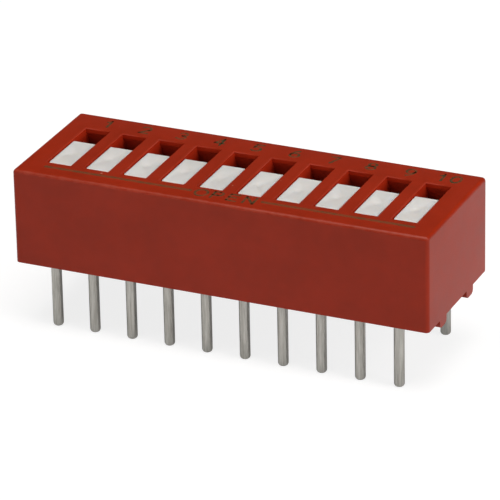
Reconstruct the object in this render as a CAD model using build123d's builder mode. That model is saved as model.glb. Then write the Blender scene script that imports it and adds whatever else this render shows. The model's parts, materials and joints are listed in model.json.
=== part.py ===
from build123d import *
from math import atan2, cos, degrees, hypot, radians, sin, sqrt, tan
import os

os.makedirs("parts", exist_ok=True)

# Ten-station through-hole dip switch with recessed rockers.
# X runs along the row of stations, +Y towards the rear pins, +Z up.
# The origin is under the middle of the body, in the plane of the pin tips.

# Driving dimensions, in millimetres and degrees

# Row and body
stations = 10
pitch = 2.54
row_width = 7.62
end_wall = 0.57
side_wall = 0.47
body_height = 6.25
edge_radius = 0.25
rebate_step = 0.05
rebate_corner = 0.20
fit_gap = 0.02

# Standoff feet
standoff = 0.55
foot_width = 1.08
foot_spacing = 4.40
feet_middle_y = -0.20
foot_round = 0.30

# Terminal pins
pin_diameter = 0.66
shank_step = 0.05
pin_reach = 4.36
pin_gap = 0.02
tip_round = 0.22
head_diameter = 1.00
head_thickness = 0.20
head_chamfer = 0.08
head_gap = 0.02
head_room = 0.10

# Base plate, its cradles and posts, and the seal
seal_thickness = 0.35
seal_recess = 0.05
plate_thickness = 0.90
bed_rise = 0.05
bed_half_length = 1.15
bed_ramp = 0.40
post_gap = 0.03
saddle_depth = 0.25

# Contact strips
strip_thickness = 0.15
strip_width = 1.18
finger_gap = 0.18
finger_shoulder = 0.30
front_finger_end = -0.10
rear_finger_end = 1.10
pad_gap = 0.12
ramp_bend = 0.055

# Windows and rockers
pivot_y = -0.15
window_width = 1.65
window_length = 5.60
side_gap = 0.07
end_gap = 0.12
facet_recess = 0.10
pivot_depth = 2.35
rocker_tilt = 21.0
ridge_round = 0.05
rocker_end_round = 0.22
rocker_end_depth = 0.85
rocker_heel_round = 0.15
swing_gap = 0.06
stem_half_width = 0.74
stem_fillet = 0.35
stem_round = 0.12
trunnion_diameter = 0.90
trunnion_engage = 0.24
trunnion_gap = 0.03
dimple_radius = 0.90
dimple_depth = 0.08

# Ball and spring
ball_diameter = 0.95
ball_gap = 0.03
bore_gap = 0.03
mouth_depth = 0.14
bore_top = 0.85
wire_diameter = 0.12
coil_gap = 0.05
seat_gap = 0.02
spring_turns = 4

# Overall sizes and levels
partition = pitch - window_width
row_y = row_width / 2
head_radius = head_diameter / 2
pin_radius = pin_diameter / 2
shank_radius = pin_radius + shank_step
hole_radius = shank_radius + pin_gap
inner_x = stations * pitch / 2 + partition / 2
inner_y = row_y + head_radius + head_gap
body_length = 2 * (inner_x + end_wall)
body_width = 2 * (inner_y + side_wall)
rebate_length = 2 * (inner_x + rebate_step)
rebate_width = 2 * (inner_y + rebate_step)
underside_z = pin_reach
top_z = underside_z + body_height
pivot_z = top_z - pivot_depth
seal_z = underside_z + seal_recess
plate_z = seal_z + seal_thickness
floor_z = plate_z + plate_thickness

# Places along the row
station_x = [(i - (stations - 1) / 2) * pitch for i in range(stations)]
boundary_x = [(i - stations / 2) * pitch for i in range(stations + 1)]
station_planes = [Plane(origin=(x, pivot_y, 0), x_dir=(0, 1, 0), z_dir=(1, 0, 0)) for x in station_x]
boundary_planes = [Plane(origin=(x, pivot_y, 0), x_dir=(0, 1, 0), z_dir=(1, 0, 0)) for x in boundary_x]
station_places = [(x, pivot_y, 0) for x in station_x]

# Outline of a rocker about its pivot, with the ridge straight up
facet_height = pivot_depth - facet_recess
facet_reach = window_length / 2 - end_gap
ridge_shift = facet_height * tan(radians(rocker_tilt))
ridge_height = facet_height / cos(radians(rocker_tilt))
end_round_centre = (facet_reach - rocker_end_round, facet_height - rocker_end_round)
cavity_radius = hypot(*end_round_centre) + rocker_end_round + swing_gap
rocker_width = window_width - 2 * side_gap
trunnion_radius = trunnion_diameter / 2
slot_radius = trunnion_radius + trunnion_gap

# Radii about the pivot, from the floor of the cavity up to the ball
bed_radius = pivot_z - floor_z - bed_rise
contact_radius = bed_radius - strip_thickness
ball_radius = ball_diameter / 2
ball_reach = contact_radius - ball_gap - ball_radius
stem_reach = ball_reach + mouth_depth
bore_radius = ball_radius + bore_gap

# Lanes of the two contact fingers, side by side under the ball
finger_width = (strip_width - finger_gap) / 2
lane_x = (finger_gap + finger_width) / 2
shoulder_y = bed_half_length + bed_ramp + finger_shoulder


def finish(part, name):
    """Label a finished piece and write it under its own name."""
    part.label = name
    export_step(part, f"parts/{name}.step")


def arc_z(radius, y):
    """Height of the lower arc of that radius about the pivot, y off the middle."""
    return pivot_z - sqrt(radius**2 - y**2)


def lower_arc(radius, y_from, y_to):
    """The lower arc of that radius about the pivot, between two places off the middle."""
    start = degrees(atan2(arc_z(radius, y_from) - pivot_z, y_from))
    end = degrees(atan2(arc_z(radius, y_to) - pivot_z, y_to))
    return CenterArc((0, pivot_z), radius, start, end - start)


# Housing: one moulded cover, open below, with a deep cavity for each rocker
foot_depth = end_wall - rebate_step
foot_planes = [Plane.YZ.offset(x) for x in (-body_length / 2, body_length / 2 - foot_depth)]
ledge_z = floor_z + strip_thickness + head_thickness + head_room
half_window = window_length / 2
land_drop = sqrt(cavity_radius**2 - half_window**2)
land_angle = degrees(atan2(land_drop, half_window))

with BuildPart() as housing:
    with BuildSketch(Plane.XY.offset(underside_z)):
        RectangleRounded(body_length, body_width, edge_radius)
    extrude(amount=body_height)
    fillet(housing.faces().sort_by(Axis.Z)[-1].edges(), edge_radius)

    # Standoff feet, flush with the end faces, with well rounded lower corners
    with BuildSketch(*foot_planes) as feet:
        for side in (-1, 1):
            with Locations((feet_middle_y + side * foot_spacing / 2, underside_z - standoff / 2)):
                Rectangle(foot_width, standoff)
        fillet(feet.vertices().group_by(Axis.Y)[0], foot_round)
    extrude(amount=foot_depth)

    # Rebate for the base plate and the seal
    with BuildSketch(Plane.XY.offset(underside_z)):
        RectangleRounded(rebate_length, rebate_width, rebate_corner)
    extrude(amount=floor_z - underside_z, mode=Mode.SUBTRACT)

    # Cavities: a window above, then walls that follow the swing of the rocker's ends
    with BuildSketch(*station_planes):
        with BuildLine():
            Polyline((0, top_z), (half_window, top_z), (half_window, pivot_z + land_drop))
            CenterArc((0, pivot_z), cavity_radius, 0, land_angle)
            Polyline((cavity_radius, pivot_z), (cavity_radius, floor_z), (0, floor_z))
            mirror(about=Plane.YZ)
        make_face()
    extrude(amount=window_width / 2, both=True, mode=Mode.SUBTRACT)

    # Room for the strips and the pin heads
    with BuildSketch(*[Plane.YZ.offset(x) for x in station_x]):
        with Locations((0, (floor_z + ledge_z) / 2)):
            Rectangle(2 * inner_y, ledge_z - floor_z)
    extrude(amount=window_width / 2, both=True, mode=Mode.SUBTRACT)

    # Trunnion slots through the partitions, open at the floor
    with BuildSketch(*boundary_planes):
        with Locations((0, pivot_z)):
            Circle(slot_radius)
        with Locations((0, (pivot_z + floor_z) / 2)):
            Rectangle(2 * slot_radius, pivot_z - floor_z)
    extrude(amount=partition / 2, both=True, mode=Mode.SUBTRACT)

finish(housing.part, "housing")


# Base plate: closes the cavities, with a post under each pair of trunnions and a cradle under each ball
post_top_z = pivot_z - saddle_depth
pad_start = front_finger_end + pad_gap

with BuildPart() as base_plate:
    with BuildSketch(Plane.XY.offset(plate_z)):
        RectangleRounded(rebate_length - 2 * fit_gap, rebate_width - 2 * fit_gap, rebate_corner)
    extrude(amount=plate_thickness)

    # Posts that fill the trunnion slots, each with a saddle in its top
    with BuildSketch(*boundary_planes):
        with Locations((0, (floor_z + post_top_z) / 2)):
            Rectangle(2 * (slot_radius - post_gap), post_top_z - floor_z)
        with Locations((0, pivot_z)):
            Circle(slot_radius, mode=Mode.SUBTRACT)
    extrude(amount=partition / 2 - post_gap, both=True)

    # Cradles, hollowed about the pivot axis
    with BuildSketch(*station_planes):
        with BuildLine():
            Polyline(
                (0, floor_z),
                (bed_half_length + bed_ramp, floor_z),
                (bed_half_length, arc_z(bed_radius, bed_half_length)),
            )
            lower_arc(bed_radius, 0, bed_half_length)
            mirror(about=Plane.YZ)
        make_face()
    extrude(amount=strip_width / 2, both=True)

    # Insulating pads in the lane where the short finger stops
    with BuildSketch(*[plane.offset(-lane_x) for plane in station_planes]):
        with BuildLine():
            Polyline(
                (pad_start, arc_z(contact_radius, pad_start)),
                (pad_start, floor_z),
                (bed_half_length, floor_z),
                (bed_half_length, arc_z(contact_radius, bed_half_length)),
            )
            lower_arc(contact_radius, pad_start, bed_half_length)
        make_face()
    extrude(amount=finger_width / 2, both=True)

    with BuildSketch(Plane.XY.offset(plate_z)):
        with GridLocations(pitch, row_width, stations, 2):
            Circle(hole_radius)
    extrude(amount=plate_thickness, mode=Mode.SUBTRACT)

finish(base_plate.part, "base_plate")


# Bottom seal: resin poured into the rebate under the base plate, round the pins
with BuildPart() as bottom_seal:
    with BuildSketch(Plane.XY.offset(seal_z)):
        RectangleRounded(rebate_length, rebate_width, rebate_corner)
        with GridLocations(pitch, row_width, stations, 2):
            Circle(hole_radius, mode=Mode.SUBTRACT)
    extrude(amount=seal_thickness)

finish(bottom_seal.part, "bottom_seal")


def contact_strip(finger_end, reach):
    """One strip towards the front: an eye round its pin, a ramp and a finger along the cradle."""
    ramp_foot = bed_half_length + bed_ramp
    strip_end = reach + head_radius
    with BuildPart() as strip:
        with BuildSketch(Plane.YZ):
            with BuildLine():
                Polyline(
                    (finger_end, arc_z(bed_radius, finger_end)),
                    (finger_end, arc_z(contact_radius, finger_end)),
                )
                lower_arc(contact_radius, -bed_half_length, finger_end)
                Polyline(
                    (-bed_half_length, arc_z(contact_radius, bed_half_length)),
                    (-ramp_foot - ramp_bend, floor_z + strip_thickness),
                    (-strip_end, floor_z + strip_thickness),
                    (-strip_end, floor_z),
                    (-ramp_foot, floor_z),
                    (-bed_half_length, arc_z(bed_radius, bed_half_length)),
                )
                lower_arc(bed_radius, -bed_half_length, finger_end)
            make_face()
        extrude(amount=strip_width / 2, both=True)

        # The other finger's lane is left free, and the eye has the pin's hole
        with BuildSketch(Plane.XY.offset(floor_z)):
            with Locations((finger_width / 2 + finger_gap / 2, (bed_half_length - shoulder_y) / 2)):
                Rectangle(strip_width - finger_width, shoulder_y + bed_half_length)
            with Locations((0, -reach)):
                Circle(hole_radius)
        extrude(amount=pivot_z - floor_z, mode=Mode.SUBTRACT)
    return strip.part


front_strip = contact_strip(front_finger_end, row_y + pivot_y)
rear_strip = contact_strip(rear_finger_end, row_y - pivot_y)

with BuildPart() as contacts_front:
    with Locations(*station_places):
        add(front_strip)

with BuildPart() as contacts_rear:
    with Locations(*station_places):
        add(rear_strip, rotation=(0, 0, 180))

finish(contacts_front.part, "contacts_front")
finish(contacts_rear.part, "contacts_rear")


# Terminal pins: round, with a rounded tip, a thicker shank held in the plate, headed over the strip's eye
head_z = floor_z + strip_thickness

with BuildPart() as pin_blank:
    with BuildSketch(Plane.XZ):
        with BuildLine():
            FilletPolyline(
                (0, 0),
                (pin_radius, 0),
                (pin_radius, seal_z),
                (shank_radius, seal_z),
                (shank_radius, head_z),
                (head_radius, head_z),
                (head_radius, head_z + head_thickness - head_chamfer),
                (head_radius - head_chamfer, head_z + head_thickness),
                (0, head_z + head_thickness),
                radius=[0, tip_round, 0, 0, 0, 0, 0, 0, 0],
                close=True,
            )
        make_face()
    revolve(axis=Axis.Z)

for row_name, y in (("front", -row_y), ("rear", row_y)):
    for number, x in enumerate(station_x, start=1):
        with BuildPart() as pin:
            with Locations((x, y, 0)):
                add(pin_blank.part)
        finish(pin.part, f"pin_{row_name}_{number}")


# Rockers: at rest they lean so far back that the front facet lies level
lean = radians(rocker_tilt)
profile_plane = Plane(origin=(0, 0, pivot_z), x_dir=(0, cos(lean), -sin(lean)), z_dir=(1, 0, 0))
bore_plane = Plane(origin=(0, 0, pivot_z), x_dir=(1, 0, 0), z_dir=(0, sin(lean), cos(lean)))


def on_facet(along, height):
    """A point of the rocker's outline: so far along the rear facet from under the pivot's foot, so high."""
    return (along * cos(lean) + height * sin(lean), height * cos(lean) - along * sin(lean))


facet_end = on_facet(facet_reach, facet_height)
heel = on_facet(facet_reach, facet_height - rocker_end_depth)
heel_run = (heel[0] - stem_half_width) / cos(lean)
armpit = (stem_half_width, heel[1] + heel_run * sin(lean))
half_outline = [facet_end, heel, armpit, (stem_half_width, -stem_reach)]
half_rounds = [rocker_end_round, rocker_heel_round, stem_fillet, stem_round]
dimple_along = (facet_reach - ridge_shift) / 2
dimple_centre = on_facet(dimple_along, facet_height + dimple_radius - dimple_depth)

with BuildPart() as rocker_blank:
    with BuildSketch(profile_plane):
        with BuildLine():
            FilletPolyline(
                (0, ridge_height),
                *half_outline,
                *[(-y, z) for y, z in reversed(half_outline)],
                radius=[ridge_round, *half_rounds, *reversed(half_rounds)],
                close=True,
            )
        make_face()
    extrude(amount=rocker_width / 2, both=True)

    with BuildSketch(profile_plane):
        Circle(trunnion_radius)
    extrude(amount=window_width / 2 + trunnion_engage, both=True)

    # Blind bore for the spring and the ball
    with BuildSketch(bore_plane.offset(-stem_reach)):
        Circle(bore_radius)
    extrude(amount=stem_reach + bore_top, mode=Mode.SUBTRACT)

    # A shallow round dimple in each facet
    for side in (-1, 1):
        with Locations(profile_plane.from_local_coords((side * dimple_centre[0], dimple_centre[1], 0))):
            Sphere(dimple_radius, mode=Mode.SUBTRACT)

# Ball: half in the mouth of the bore, just clear of the strips
with BuildPart() as ball_blank:
    with Locations(bore_plane.from_local_coords((0, 0, -ball_reach))):
        Sphere(ball_radius)

# Spring: a helix between the ball and the end of the bore
wire_radius = wire_diameter / 2
coil_radius = bore_radius - coil_gap - wire_radius
ball_seat = sqrt((ball_radius + wire_radius + seat_gap) ** 2 - coil_radius**2)
spring_foot = -ball_reach + ball_seat
spring_head = bore_top - wire_radius - seat_gap
spring_length = spring_head - spring_foot

with BuildPart() as spring_blank:
    with BuildLine():
        coil = Helix(
            pitch=spring_length / spring_turns,
            height=spring_length,
            radius=coil_radius,
            center=bore_plane.offset(spring_foot).origin,
            direction=bore_plane.z_dir,
        )
    with BuildSketch(Plane(origin=coil @ 0, z_dir=coil % 0)):
        Circle(wire_radius)
    sweep(path=coil)

for blank, name in ((rocker_blank, "rocker"), (ball_blank, "ball"), (spring_blank, "spring")):
    for number, place in enumerate(station_places, start=1):
        with BuildPart() as copy:
            with Locations(place):
                add(blank.part)
        finish(copy.part, f"{name}_{number}")
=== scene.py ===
import json
import math

import bmesh
import bpy
import numpy as np
from mathutils import Matrix, Vector


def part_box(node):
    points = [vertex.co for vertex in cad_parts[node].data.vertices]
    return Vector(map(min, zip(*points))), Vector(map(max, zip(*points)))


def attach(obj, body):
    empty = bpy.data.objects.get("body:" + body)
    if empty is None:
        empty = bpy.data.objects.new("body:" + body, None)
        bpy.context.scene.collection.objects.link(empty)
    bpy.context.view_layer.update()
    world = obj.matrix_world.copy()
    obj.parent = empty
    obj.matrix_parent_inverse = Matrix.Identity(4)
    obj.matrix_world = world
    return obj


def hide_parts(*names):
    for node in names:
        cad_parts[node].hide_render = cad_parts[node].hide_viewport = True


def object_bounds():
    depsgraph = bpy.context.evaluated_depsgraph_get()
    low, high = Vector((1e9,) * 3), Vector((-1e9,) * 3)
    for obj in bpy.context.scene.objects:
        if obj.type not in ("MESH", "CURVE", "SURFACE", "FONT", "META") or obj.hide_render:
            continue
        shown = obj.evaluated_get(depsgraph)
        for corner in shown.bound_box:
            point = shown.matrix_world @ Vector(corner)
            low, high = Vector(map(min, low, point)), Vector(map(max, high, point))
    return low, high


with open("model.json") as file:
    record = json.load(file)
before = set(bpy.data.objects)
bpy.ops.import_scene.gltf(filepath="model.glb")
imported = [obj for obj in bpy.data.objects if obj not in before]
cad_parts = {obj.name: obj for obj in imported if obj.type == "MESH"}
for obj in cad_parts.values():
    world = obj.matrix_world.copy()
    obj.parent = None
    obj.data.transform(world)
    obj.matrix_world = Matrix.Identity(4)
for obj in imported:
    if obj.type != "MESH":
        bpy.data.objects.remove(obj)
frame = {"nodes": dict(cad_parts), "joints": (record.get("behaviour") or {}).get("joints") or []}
cad_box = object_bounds()
nodes = frame["nodes"]
mm = 0.001

# Viewpoint: a long lens from the front right and above, nearly parallel, leaning one degree. The eye's
# place is in millimetres, its directions are in the part's own frame, and the focal length is in points
# of a picture 500 points wide.
eye = Vector((98.70, -218.30, 117.39)) * mm
sight = Vector((-0.37319, 0.82551, -0.42340)).normalized()
upward = Vector((-0.15529, 0.39435, 0.90574))
focal_length, picture_width, film_width = 4301.6, 500, 36
nearest_seen, farthest_seen = 0.01, 10


def placed(name, data):
    """A new object of that name and data, put into the scene."""
    made = bpy.data.objects.new(name, data)
    bpy.context.scene.collection.objects.link(made)
    return made


across = sight.cross(upward).normalized()
turned = Matrix((across, across.cross(sight), -sight)).transposed()
camera = placed("camera", bpy.data.cameras.new("camera"))
camera.matrix_world = Matrix.Translation(eye) @ turned.to_4x4()
camera.data.sensor_width = film_width
camera.data.lens = focal_length / picture_width * film_width
camera.data.clip_start = nearest_seen
camera.data.clip_end = farthest_seen
bpy.context.scene.camera = camera

# Studio: a white table and backdrop, a wide soft lamp overhead, a softer one from the right and a weak
# one from the front. The lens sees the table white, mirror rays nearly so, and it keeps a pale shadow.
# From below the table is clear, so that the underside can be looked at.
white = (1, 1, 1, 1)
room_tint, room_level, ceiling_level, ceiling_height = (1.0, 0.985, 0.965, 1), 0.46, 0.03, 0.26
table_reach, table_tone = 3, (0.80, 0.80, 0.80, 1)
shadow_tone, table_glow, mirror_share = (0.28, 0.28, 0.28, 1), 0.82, 0.3
bpy.context.scene.view_settings.view_transform = "Standard"


def wire(tree, kind, **inputs):
    """Adds a node of that kind to a tree and sets or links its inputs, by name or by number as in _0."""
    node = tree.nodes.new(kind)
    for name, value in inputs.items():
        numbered = name[0] == "_" and name[1:].isdigit()
        socket = node.inputs[int(name[1:]) if numbered else name.replace("_", " ")]
        if isinstance(value, bpy.types.NodeSocket):
            tree.links.new(value, socket)
        else:
            socket.default_value = value
    return node


def maths(tree, operation, *values, clamp=False):
    """One sum in a tree: the operation on one to three numbers or sockets."""
    node = wire(tree, "ShaderNodeMath", **{f"_{i}": value for i, value in enumerate(values)})
    node.operation = operation
    node.use_clamp = clamp
    return node.outputs[0]


def spread(tree, value, low, high, out_low=0.0, out_high=1.0):
    """A value carried in a straight line from one range to another, and held at its ends."""
    node = wire(tree, "ShaderNodeMapRange", Value=value, _1=low, _2=high, _3=out_low, _4=out_high)
    return node.outputs[0]


def softbox(name, place, aim, size, watts, tint):
    """A rectangular lamp at a place in millimetres, turned to face another."""
    lamp = bpy.data.lights.new(name, "AREA")
    lamp.shape = "RECTANGLE"
    lamp.size, lamp.size_y = (side * mm for side in size)
    lamp.energy = watts
    lamp.color = tint
    holder = placed(name, lamp)
    holder.location = Vector(place) * mm
    holder.rotation_euler = (Vector(aim) - Vector(place)).to_track_quat("-Z", "Y").to_euler()


world = bpy.data.worlds.new("studio")
bpy.context.scene.world = world
world.use_nodes = True
tree = world.node_tree
tree.nodes.clear()
rays = wire(tree, "ShaderNodeLightPath").outputs
seen = maths(tree, "MAXIMUM", rays["Is Camera Ray"], rays["Is Transmission Ray"])
ray = wire(tree, "ShaderNodeTexCoord").outputs["Generated"]
height = wire(tree, "ShaderNodeSeparateXYZ", Vector=ray).outputs["Z"]
falling = spread(tree, height, 0.0, ceiling_height, room_level, ceiling_level)
room = wire(tree, "ShaderNodeBackground", Color=room_tint, Strength=falling).outputs[0]
backdrop = wire(tree, "ShaderNodeBackground", Color=white, Strength=1.0).outputs[0]
surface = wire(tree, "ShaderNodeMixShader", _0=seen, _1=room, _2=backdrop).outputs[0]
wire(tree, "ShaderNodeOutputWorld", Surface=surface)

softbox("overhead", (20, -30, 300), aim=(0, 0, 8), size=(260, 200), watts=0.72, tint=(1.0, 0.985, 0.96))
softbox("from_right", (280, -40, 150), aim=(0, 0, 8), size=(160, 160), watts=0.41, tint=(1.0, 0.98, 0.96))
softbox("from_front", (-75, -100, 32), aim=(0, 0, 6), size=(90, 40), watts=0.014, tint=(0.97, 0.985, 1.0))

table = bpy.data.meshes.new("table")
corners = [(x * table_reach, y * table_reach, 0) for x, y in ((-1, -1), (1, -1), (1, 1), (-1, 1))]
table.from_pydata(corners, [], [(0, 1, 2, 3)])
paper = bpy.data.materials.new("white_table")
paper.use_nodes = True
tree = paper.node_tree
tree.nodes.clear()
rays = wire(tree, "ShaderNodeLightPath").outputs
mirrored = maths(tree, "MULTIPLY", rays["Is Glossy Ray"], mirror_share)
seen = maths(tree, "MAXIMUM", rays["Is Camera Ray"], mirrored)
lit = wire(tree, "ShaderNodeBsdfDiffuse", Color=table_tone).outputs[0]
shaded = wire(tree, "ShaderNodeBsdfDiffuse", Color=shadow_tone).outputs[0]
glow = wire(tree, "ShaderNodeEmission", Color=white, Strength=table_glow).outputs[0]
shown = wire(tree, "ShaderNodeAddShader", _0=shaded, _1=glow).outputs[0]
above = wire(tree, "ShaderNodeMixShader", _0=seen, _1=lit, _2=shown).outputs[0]
under = wire(tree, "ShaderNodeNewGeometry").outputs["Backfacing"]
clear = wire(tree, "ShaderNodeBsdfTransparent").outputs[0]
surface = wire(tree, "ShaderNodeMixShader", _0=under, _1=above, _2=clear).outputs[0]
wire(tree, "ShaderNodeOutputMaterial", Surface=surface)
table.materials.append(paper)
floor = placed("table", table)


# Housing: one cover moulded in red polyester, with a fine spark-eroded texture, rounded outer edges
# and ten windows whose rims are just broken, with a painted highlight. The edges are paler where they
# are worn and thin, partly wear and partly a painted highlight, dust has settled on the top, and inside
# the windows painted light lies near the rims and painted shade darkens the red below.
body_half_length, body_half_width, body_top = (reach / mm for reach in cad_box[1])
plate_top, outer_skin, hair = 5.66, 0.4, 0.003
# The last two are depths in millimetres: the painted light inside the windows is full down to the first,
# and the painted shade is full from the second
rim_break, rim_inset, painted_glow_depth, painted_shade_depth = 0.06, 1, 0.15, 1.8
weld, flat_degrees, edge_degrees, crease_degrees = 0.0005, 0.4, 35, 32
# The third red, for the top's long edges, is partly wear and partly a painted highlight
deep_red, bright_red, worn_and_highlit_red = (0.300, 0.0190, 0.0030), (0.355, 0.0225, 0.0042), (0.50, 0.13, 0.09)
# Inside the windows: two reds of painted light near the rims, then a near black of painted shade
painted_glow_red, bright_painted_glow_red, painted_shade_red = (0.43, 0.023, 0.006), (0.49, 0.031, 0.008), (0.040, 0.0005, 0.0002)
# Window rims: reds a little paler than the faces, a painted highlight
rim_red, highlit_rim_red = (0.31, 0.022, 0.006), (0.37, 0.034, 0.014)
dust_colour, dust_depth = (0.55, 0.26, 0.18), 0.2
dust_per_metre, dust_least, dust_growth = 1200.0, 0.3, 0.11
grain_size, grain_depth = 0.07, 0.012
# The edge mask stands partly for wear and partly for a painted highlight along the top's long edges
wear_and_highlight_reach, wear_and_highlight_strength, wear_and_highlight_fall = 0.20, 0.5, 1.5


def merged_copy(node, name):
    """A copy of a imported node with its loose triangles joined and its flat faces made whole."""
    shell = bmesh.new()
    shell.from_mesh(nodes[node].data)
    bmesh.ops.remove_doubles(shell, verts=shell.verts, dist=weld * mm)
    nearly_flat = math.radians(flat_degrees)
    bmesh.ops.dissolve_limit(shell, angle_limit=nearly_flat, verts=shell.verts, edges=shell.edges)
    mesh = bpy.data.meshes.new(name)
    shell.to_mesh(mesh)
    shell.free()
    return placed(name, mesh)


def break_edges(piece, chosen, width):
    """Rounds over the sharp edges that chosen(start, end) picks by their ends, in millimetres.

    The piece is shaded smooth, except across the creases that are left.
    """
    shell = bmesh.new()
    shell.from_mesh(piece.data)
    weight = shell.edges.layers.float.new("bevel_weight_edge")
    for edge in shell.edges:
        if len(edge.link_faces) == 2 and edge.calc_face_angle() > math.radians(edge_degrees):
            start, end = (vertex.co / mm for vertex in edge.verts)
            edge[weight] = float(chosen(start, end))
    shell.to_mesh(piece.data)
    shell.free()
    bevel = piece.modifiers.new("broken_edges", "BEVEL")
    bevel.limit_method = "WEIGHT"
    bevel.width = width * mm
    bevel.segments = 2
    bevel.use_clamp_overlap = False
    piece.data.shade_smooth()
    piece.data.set_sharp_from_angle(angle=math.radians(crease_degrees))


def on_window_rim(start, end):
    """True for an edge in the top face that lies inside the body's own outer edges."""
    level = min(start.z, end.z) > body_top - hair
    return level and max(abs(start.y), abs(end.y)) < body_half_width - rim_inset


def noise(tree, place, per_metre, octaves, fall=0.5):
    """Soft noise with that many cells to the metre, and finer octaves of it, each weaker by the fall."""
    node = wire(tree, "ShaderNodeTexNoise", Vector=place, Scale=per_metre, Detail=octaves, Roughness=fall)
    return node.outputs[0]


def shares(tree, first, second, share):
    """The first value times its share, and the second times what is left of one."""
    rest = maths(tree, "MULTIPLY", second, 1 - share)
    return maths(tree, "ADD", maths(tree, "MULTIPLY", first, share), rest)


def group(name, inputs, outputs):
    """An empty shader group with those named inputs (name, kind, value) and outputs (name, kind)."""
    tree = bpy.data.node_groups.new(name, "ShaderNodeTree")
    for label, kind, value in inputs:
        socket = tree.interface.new_socket(label, in_out="INPUT", socket_type=kind)
        socket.default_value = value
    for label, kind in outputs:
        tree.interface.new_socket(label, in_out="OUTPUT", socket_type=kind)
    return tree, tree.nodes.new("NodeGroupInput").outputs, tree.nodes.new("NodeGroupOutput").inputs


# Grain: noise of three sizes, as spark erosion leaves it on a mould, put out as a height and a mottle
grain, given, result = group(
    "spark_grain",
    [("Coordinates", "NodeSocketVector", (0, 0, 0)), ("Grain size", "NodeSocketFloat", 0.06)],
    [("Height", "NodeSocketFloat"), ("Mottle", "NodeSocketFloat")],
)
per_metre = maths(grain, "DIVIDE", 1000.0, given["Grain size"])
fine = noise(grain, given["Coordinates"], per_metre, octaves=3.0, fall=0.6)
coarse = noise(grain, given["Coordinates"], per_metre=1400.0, octaves=2.0)
broad = noise(grain, given["Coordinates"], per_metre=260.0, octaves=3.0, fall=0.55)
grain.links.new(shares(grain, fine, coarse, share=0.7), result["Height"])
grain.links.new(shares(grain, broad, coarse, share=0.65), result["Mottle"])

# Worn edges, partly real wear and partly a painted highlight: a mask that grows towards the two long
# edges of the top. The way from such an edge is the larger of the distances to the side and to the top.
# The reach, in millimetres, is made ragged by twice a noise whose middle is a half.
wear_and_highlight, given, result = group(
    "worn_and_highlit_edges",
    [("Coordinates", "NodeSocketVector", (0, 0, 0)), ("Reach", "NodeSocketFloat", 0.35)],
    [("Mask", "NodeSocketFloat")],
)
parts = wire(wear_and_highlight, "ShaderNodeSeparateXYZ", Vector=given["Coordinates"]).outputs
to_side = maths(wear_and_highlight, "SUBTRACT", body_half_width * mm, maths(wear_and_highlight, "ABSOLUTE", parts["Y"]))
to_top = maths(wear_and_highlight, "SUBTRACT", body_top * mm, parts["Z"])
from_edge = maths(wear_and_highlight, "MAXIMUM", to_side, to_top)
ragged = noise(wear_and_highlight, given["Coordinates"], per_metre=2600.0, octaves=3.0)
reach = maths(wear_and_highlight, "MULTIPLY", given["Reach"], maths(wear_and_highlight, "MULTIPLY", ragged, 2 * mm))
near = maths(wear_and_highlight, "SUBTRACT", 1.0, maths(wear_and_highlight, "DIVIDE", from_edge, reach), clamp=True)
wear_and_highlight.links.new(maths(wear_and_highlight, "POWER", near, wear_and_highlight_fall), result["Mask"])


def blend(tree, mask, first, second):
    """A colour that runs from the first to the second, each a value or a socket, as a mask grows."""
    node = wire(tree, "ShaderNodeMix", _0=mask)
    node.data_type = "RGBA"
    for socket, colour in ((node.inputs[6], first), (node.inputs[7], second)):
        if isinstance(colour, bpy.types.NodeSocket):
            tree.links.new(colour, socket)
        else:
            socket.default_value = (*colour, 1)
    return node.outputs[2]


def mottled(tree, pattern, first, second, low=0.35, high=0.65):
    """A colour between two, carried by the middle range of a noise."""
    return blend(tree, spread(tree, pattern, low, high), first, second)


def finish(name):
    """A new material with its tree, its shader and the piece's own coordinates."""
    made = bpy.data.materials.new(name)
    made.use_nodes = True
    tree = made.node_tree
    place = tree.nodes.new("ShaderNodeTexCoord").outputs["Object"]
    return made, tree, tree.nodes["Principled BSDF"], place


def patchy_gloss(tree, shader, pattern, low, high):
    """Links a roughness that a noise carries between two values."""
    tree.links.new(spread(tree, pattern, 0.3, 0.7, low, high), shader.inputs["Roughness"])


def roughened(tree, shader, relief, strength, depth):
    """Links a bump of that relief, its full depth in millimetres."""
    bump = wire(tree, "ShaderNodeBump", Height=relief, Strength=strength, Distance=depth * mm)
    tree.links.new(bump.outputs[0], shader.inputs["Normal"])


def grained(tree, place, size):
    """The grain's outputs, a height and a mottle, for a grain of that size in millimetres."""
    texture = wire(tree, "ShaderNodeGroup")
    texture.node_tree = grain
    tree.links.new(place, texture.inputs["Coordinates"])
    texture.inputs["Grain size"].default_value = size
    return texture.outputs


red_plastic, tree, shader, place = finish("red_polyester")
texture = grained(tree, place, grain_size)
roughened(tree, shader, texture["Height"], strength=0.35, depth=grain_depth)
patchy_gloss(tree, shader, texture["Height"], low=0.31, high=0.41)
shader.inputs["Specular IOR Level"].default_value = 0.225
edges = wire(tree, "ShaderNodeGroup")
edges.node_tree = wear_and_highlight
tree.links.new(place, edges.inputs["Coordinates"])
edges.inputs["Reach"].default_value = wear_and_highlight_reach
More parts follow.
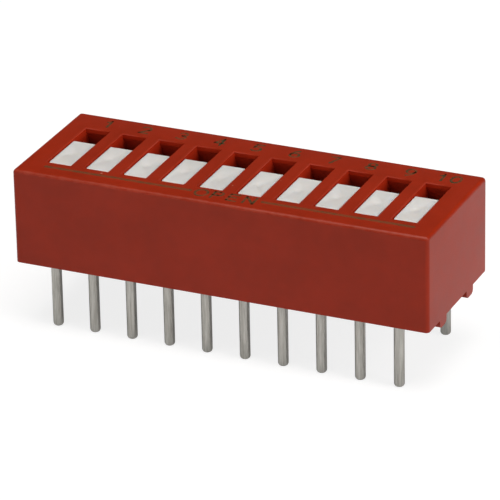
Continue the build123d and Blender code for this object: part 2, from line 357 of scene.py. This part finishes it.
# The long top edges run paler, partly wear and partly a painted highlight
rubbed_and_highlit = maths(tree, "MULTIPLY", edges.outputs["Mask"], wear_and_highlight_strength)
tone = blend(tree, rubbed_and_highlit, mottled(tree, texture["Mottle"], deep_red, bright_red), worn_and_highlit_red)
dust = wire(tree, "ShaderNodeTexVoronoi", Vector=place, Scale=dust_per_metre).outputs
chance = wire(tree, "ShaderNodeSeparateColor", Color=dust["Color"]).outputs[0]
speck_size = maths(tree, "MULTIPLY", maths(tree, "SUBTRACT", chance, dust_least), dust_growth)
speck = maths(tree, "LESS_THAN", dust["Distance"], speck_size)
height = wire(tree, "ShaderNodeSeparateXYZ", Vector=place).outputs["Z"]
on_top = maths(tree, "GREATER_THAN", height, (body_top - dust_depth) * mm)
settled = maths(tree, "MULTIPLY", speck, on_top)
tree.links.new(blend(tree, settled, tone, dust_colour), shader.inputs["Base Color"])

# Inside the windows the same plastic has painted light near the thin rims, paler than the red outside,
# and painted shade below it, darkening to near black
red_recess_painted_light, tree, shader, place = finish("red_recess_painted_light")
texture = grained(tree, place, grain_size)
roughened(tree, shader, texture["Height"], strength=0.2, depth=grain_depth)
height = wire(tree, "ShaderNodeSeparateXYZ", Vector=place).outputs["Z"]
painted_glow_to_shade = spread(tree, height, (body_top - painted_glow_depth) * mm, (body_top - painted_shade_depth) * mm)
tone = blend(tree, painted_glow_to_shade, mottled(tree, texture["Mottle"], painted_glow_red, bright_painted_glow_red), painted_shade_red)
tree.links.new(tone, shader.inputs["Base Color"])
shader.inputs["Roughness"].default_value = 0.6
shader.inputs["Specular IOR Level"].default_value = 0.03

# The broken rims of the windows carry a painted highlight, a little paler than the faces beside them, and
# are duller
red_rim_painted_highlight, tree, shader, place = finish("red_rim_painted_highlight")
texture = grained(tree, place, grain_size)
roughened(tree, shader, texture["Height"], strength=0.3, depth=grain_depth)
tree.links.new(mottled(tree, texture["Mottle"], rim_red, highlit_rim_red), shader.inputs["Base Color"])
shader.inputs["Roughness"].default_value = 0.45
shader.inputs["Specular IOR Level"].default_value = 0.10


def clad(names, material, smooth=False):
    """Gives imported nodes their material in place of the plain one, and smooths round ones."""
    for name in names:
        mesh = nodes[name].data
        mesh.materials.clear()
        mesh.materials.append(material)
        if smooth:
            mesh.shade_smooth()


cover = merged_copy("housing", "moulded_cover")
break_edges(cover, on_window_rim, rim_break)
reds = [red_plastic, red_recess_painted_light, red_rim_painted_highlight]
for red in reds:
    cover.data.materials.append(red)
faces = cover.data.polygons
centres = np.empty(len(faces) * 3, np.float32)
faces.foreach_get("center", centres)
x, y, z = (centres / mm).reshape(-1, 3).T
# Faces inside the windows take the red with painted light and shade, and the rim bevels take the red with
# a painted highlight
inward = (abs(x) < body_half_length - outer_skin) & (abs(y) < body_half_width - outer_skin)
in_recess = inward & (z > plate_top) & (z < body_top - hair)
faces.foreach_set("material_index", in_recess.astype(np.int32) * reds.index(red_recess_painted_light))
cover.modifiers["broken_edges"].material = reds.index(red_rim_painted_highlight)
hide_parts("housing")
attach(cover, "body")
clad(["base_plate"], red_plastic)


# Print: the numbers behind the windows, and the word OPEN between two lines in front of them, pad
# printed in one thin coat of olive brown ink that has taken unevenly on the texture.
ink_height, ink_stroke, ink_coat, ink_patch = 0.88, 0.16, 0.008, 0.30
word_left, word_pitch, word_foot = -1.76, 1.055, -4.13
number_shift, number_pitch, number_foot, number_growth, digit_half = 0.28, 0.90, 3.20, 1.05, 0.32
line_width, line_y, line_ends = 0.28, -3.62, ((-11.95, -2.25), (2.55, 12.30))
thick_ink, thin_ink = (0.055, 0.045, 0.018), (0.200, 0.048, 0.016)
thick_line, thin_line = (0.150, 0.048, 0.016), (0.250, 0.046, 0.013)

# The middle of each rocker's axis, in millimetres, by the body that turns on it
pivots = {joint["child"]: [reach / mm for reach in joint["pos_m"]] for joint in frame["joints"]}
stations = range(1, len(pivots) + 1)


def bow(cx, cy, rx, ry, start, end):
    """Points of an elliptic arc about a centre, its angles in degrees from the right, anticlockwise."""
    turn = np.radians(np.linspace(start, end, 25))
    return np.column_stack((cx + rx * np.cos(turn), cy + ry * np.sin(turn)))


def run(start, end):
    """Points of a straight stroke from one place to another, in eight equal steps."""
    return np.linspace(start, end, 9)


# Each character is a list of strokes, one unit high
strokes = {
    "0": [bow(0.32, 0.5, 0.32, 0.5, 0, 360)],
    "1": [run((0.14, 0.76), (0.36, 1.0)), run((0.36, 1.0), (0.36, 0.0))],
    "2": [
        bow(0.32, 0.70, 0.30, 0.30, 165, -40),
        run((0.55, 0.51), (0.02, 0.0)),
        run((0.02, 0.0), (0.64, 0.0)),
    ],
    "3": [bow(0.28, 0.75, 0.28, 0.25, 150, -90), bow(0.28, 0.26, 0.32, 0.26, 90, -150)],
    "4": [run((0.48, 1.0), (0.0, 0.33)), run((0.0, 0.33), (0.66, 0.33)), run((0.48, 1.0), (0.48, 0.0))],
    "5": [
        run((0.60, 1.0), (0.10, 1.0)),
        run((0.10, 1.0), (0.06, 0.54)),
        bow(0.28, 0.32, 0.32, 0.32, 130, -145),
    ],
    "6": [bow(0.32, 0.31, 0.31, 0.31, 0, 360), bow(0.62, 0.36, 0.60, 0.66, 105, 180)],
    "7": [run((0.02, 1.0), (0.64, 1.0)), run((0.64, 1.0), (0.24, 0.0))],
    "8": [bow(0.32, 0.75, 0.26, 0.25, 0, 360), bow(0.32, 0.26, 0.32, 0.26, 0, 360)],
    "9": [bow(0.32, 0.69, 0.31, 0.31, 0, 360), bow(0.02, 0.64, 0.60, 0.66, 0, -75)],
    "O": [bow(0.34, 0.5, 0.45, 0.5, 0, 360)],
    "P": [
        run((0.0, 0.0), (0.0, 1.0)),
        run((0.0, 1.0), (0.40, 1.0)),
        bow(0.40, 0.74, 0.28, 0.26, 90, -90),
        run((0.40, 0.48), (0.0, 0.48)),
    ],
    "E": [
        run((0.0, 0.0), (0.0, 1.0)),
        run((0.0, 1.0), (0.64, 1.0)),
        run((0.0, 0.52), (0.56, 0.52)),
        run((0.0, 0.0), (0.66, 0.0)),
    ],
    "N": [run((0.0, 0.0), (0.0, 1.0)), run((0.0, 1.0), (0.74, 0.0)), run((0.74, 0.0), (0.74, 1.0))],
}


def inked(path, width):
    """Vertices and quads of one pen stroke on the top face, in millimetres.

    The path is widened to both sides by half the width. An open path is first drawn out by half a
    width at each end, where its half width shrinks as a circle's does about the end. Across the stroke
    the coat rises from the face close to each side and is level in between.
    """
    tip_reach, tip_half = np.array([[0.5], [0.25]]) * width, np.array([0.02, 0.43]) * width
    across_and_up = np.array([(-1.0, 0.0), (-0.86, 1.0), (0.86, 1.0), (1.0, 0.0)])
    along = np.gradient(path, axis=0)
    along /= np.maximum(np.linalg.norm(along, axis=1, keepdims=True), 1e-9)
    half = np.full(len(path), width / 2)
    if not np.allclose(path[0], path[-1]):
        before, after = path[:1] - along[:1] * tip_reach, path[-1:] + along[-1:] * tip_reach[::-1]
        path = np.concatenate((before, path, after))
        along = np.concatenate((along[[0, 0]], along, along[[-1, -1]]))
        half = np.concatenate((tip_half, half, tip_half[::-1]))
    side = np.column_stack((-along[:, 1], along[:, 0]))
    flat = path[:, None] + side[:, None] * (half[:, None] * across_and_up[:, 0])[..., None]
    rise = np.broadcast_to(body_top + ink_coat * across_and_up[:, 1], flat.shape[:2])
    verts = np.concatenate((flat, rise[..., None]), axis=2).reshape(-1, 3)
    first = np.arange(len(path) - 1)[:, None] * 4 + np.arange(3)
    quads = np.stack((first + 4, first + 5, first + 1, first), axis=-1).reshape(-1, 4)
    return verts, quads


def printed(name, paths, width):
    """One piece of all the strokes of a print, each stroke's vertices counted on from the last one's."""
    verts, quads = zip(*(inked(path, width) for path in paths))
    counts = np.cumsum([0] + [len(stroke) for stroke in verts])
    mesh = bpy.data.meshes.new(name)
    faces = np.concatenate([stroke + count for stroke, count in zip(quads, counts)])
    mesh.from_pydata((np.concatenate(verts) * mm).tolist(), [], faces.tolist())
    return placed(name, mesh)


def set_text(text, left, foot, height, step):
    """The strokes of a text whose letters stand a step apart, from its lower left corner."""
    letters = enumerate(text)
    return [path * height + (left + i * step, foot) for i, letter in letters for path in strokes[letter]]


def brown_ink(name, thick, thin):
    """Ink that runs in patches from a thick colour to a thin one, where the red shows through."""
    ink, tree, shader, place = finish(name)
    texture = grained(tree, place, ink_patch)
    taken = mottled(tree, texture["Height"], thick, thin, low=0.42, high=0.60)
    tree.links.new(taken, shader.inputs["Base Color"])
    roughened(tree, shader, texture["Height"], strength=0.4, depth=0.010)
    shader.inputs["Roughness"].default_value = 0.6
    shader.inputs["Specular IOR Level"].default_value = 0.2
    return ink


characters = set_text("OPEN", word_left, word_foot, ink_height, word_pitch)
for number in stations:
    text = str(number)
    half_text = digit_half * ink_height + number_pitch * (len(text) - 1) / 2
    left = pivots[f"switch_{number}"][0] + number_shift - half_text
    characters += set_text(text, left, number_foot, ink_height * number_growth, number_pitch)
lines = [run((start, line_y), (end, line_y)) for start, end in line_ends]
for name, paths, width, thick, thin in (
    ("printed_characters", characters, ink_stroke, thick_ink, thin_ink),
    ("printed_lines", lines, line_width, thick_line, thin_line),
):
    piece = printed(name, paths, width)
    piece.data.materials.append(brown_ink(f"ink_of_{name}", thick, thin))
    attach(piece, "body")


# Rockers: moulded in natural white nylon, satin and a little translucent, with softly rounded side
# edges and a shallow thumb dimple in each half. Each turns on two trunnions moulded on its sides.
rocker_half_width, rocker_round, trunnion_clear = 0.755, 0.04, 0.6
shaded_white, bright_white = (0.700, 0.682, 0.662), (0.770, 0.757, 0.742)

white_nylon, tree, shader, place = finish("natural_nylon")
texture = grained(tree, place, 0.10)
tree.links.new(mottled(tree, texture["Mottle"], shaded_white, bright_white), shader.inputs["Base Color"])
patchy_gloss(tree, shader, texture["Height"], low=0.34, high=0.46)
roughened(tree, shader, texture["Height"], strength=0.25, depth=0.010)
shader.inputs["Subsurface Weight"].default_value = 0.40
shader.inputs["Subsurface Radius"].default_value = (0.0006, 0.0005, 0.0004)
shader.inputs["Subsurface Scale"].default_value = 0.8


def side_outline(number):
    """Picks the edges of a rocker's side outlines, and leaves those round its trunnions."""
    middle, axis_y, axis_z = pivots[f"switch_{number}"]

    def chosen(start, end):
        """True where both ends lie in one of the side faces and the first is clear of the trunnion."""
        beside = all(abs(abs(point.x - middle) - rocker_half_width) < hair for point in (start, end))
        return beside and math.hypot(start.y - axis_y, start.z - axis_z) > trunnion_clear

    return chosen


for number in stations:
    rocker = merged_copy(f"rocker_{number}", f"nylon_rocker_{number}")
    break_edges(rocker, side_outline(number), rocker_round)
    rocker.data.materials.append(white_nylon)
    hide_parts(f"rocker_{number}")
    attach(rocker, f"switch_{number}")


# Terminal pins: drawn bronze wire, tinned, with dull lengthwise drawing marks. Each is headed over
# its contact strip inside, and its lower end is rounded for the board's hole.
dark_tin, bright_tin, lengthwise = (0.36, 0.35, 0.32), (0.56, 0.55, 0.515), (1, 1, 0.06)

tin, tree, shader, place = finish("tinned_wire")
drawn = wire(tree, "ShaderNodeMapping", Vector=place, Scale=lengthwise).outputs[0]
marks = noise(tree, drawn, per_metre=9000.0, octaves=4.0, fall=0.65)
stain = noise(tree, place, per_metre=900.0, octaves=3.0)
tree.links.new(mottled(tree, marks, dark_tin, bright_tin), shader.inputs["Base Color"])
shader.inputs["Metallic"].default_value = 1.0
patchy_gloss(tree, shader, stain, low=0.30, high=0.46)
roughened(tree, shader, marks, strength=0.5, depth=0.012)
clad([f"pin_{row}_{number}" for row in ("front", "rear") for number in stations], tin, smooth=True)


# Bottom seal: a dark resin poured into the recess under the base plate once the pins are in. It has
# crept a little down every pin, in a small skirt whose slope is steepest at the metal.
seal_face, pin_radius, row_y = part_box("bottom_seal")[0].z / mm, 0.33, 3.81
creep, creep_reach, into_pin, into_seal = 0.16, 0.34, 0.005, 0.004
dark_resin, dusty_resin = (0.020, 0.019, 0.021), (0.060, 0.056, 0.055)

resin, tree, shader, place = finish("poured_resin")
waves = noise(tree, place, per_metre=700.0, octaves=2.0)
dust = noise(tree, place, per_metre=8000.0, octaves=4.0, fall=0.7)
tone = mottled(tree, dust, dark_resin, dusty_resin, low=0.45, high=0.75)
tree.links.new(tone, shader.inputs["Base Color"])
patchy_gloss(tree, shader, dust, low=0.22, high=0.38)
roughened(tree, shader, waves, strength=0.5, depth=0.05)
clad(["bottom_seal"], resin)


def crept_resin():
    """Skirts of resin round all the pins: depth falls with the cube of the way out from the metal."""
    way, turn = np.meshgrid(np.linspace(0, 1, 9), np.linspace(0, 2 * np.pi, 29)[:-1], indexing="ij")
    radius = pin_radius - into_pin + creep_reach * way
    level = seal_face - creep * (1 - way) ** 3 + into_seal * way
    skirt = np.stack((radius * np.cos(turn), radius * np.sin(turn), level), axis=-1).reshape(-1, 3)
    steps, sides = way.shape
    ring = np.arange(steps - 1)[:, None] * sides
    first, after = ring + np.arange(sides), ring + (np.arange(sides) + 1) % sides
    quads = np.stack((first, after, after + sides, first + sides), axis=-1).reshape(-1, 4)
    centres = np.array([(x, y, 0.0) for y in (-row_y, row_y) for x, *_ in pivots.values()])
    verts = (skirt + centres[:, None]).reshape(-1, 3)
    faces = (quads + (np.arange(len(centres)) * len(skirt))[:, None, None]).reshape(-1, 4)
    mesh = bpy.data.meshes.new("crept_resin")
    mesh.from_pydata((verts * mm).tolist(), [], faces.tolist())
    mesh.shade_smooth()
    return placed("crept_resin", mesh)


skirts = crept_resin()
skirts.data.materials.append(resin)
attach(skirts, "body")


# Inside works: gold plated strips and contact balls, and the steel springs that press the balls down.
# All but hidden once the base plate is in, they show only as the switch is taken apart.
deep_gold, bright_gold = (0.72, 0.49, 0.17), (0.86, 0.64, 0.28)
dark_steel, bright_steel = (0.45, 0.45, 0.45), (0.60, 0.60, 0.60)

plating, tree, shader, place = finish("gold_plating")
wiped = noise(tree, place, per_metre=3500.0, octaves=3.0)
tree.links.new(mottled(tree, wiped, deep_gold, bright_gold), shader.inputs["Base Color"])
shader.inputs["Metallic"].default_value = 1.0
patchy_gloss(tree, shader, wiped, low=0.18, high=0.34)

spring_wire, tree, shader, place = finish("spring_wire")
marks = noise(tree, place, per_metre=12000.0, octaves=3.0)
tree.links.new(mottled(tree, marks, dark_steel, bright_steel), shader.inputs["Base Color"])
shader.inputs["Metallic"].default_value = 1.0
patchy_gloss(tree, shader, marks, low=0.22, high=0.36)

clad(["contacts_front", "contacts_rear"], plating)
clad([f"ball_{number}" for number in stations], plating, smooth=True)
clad([f"spring_{number}" for number in stations], spring_wire)
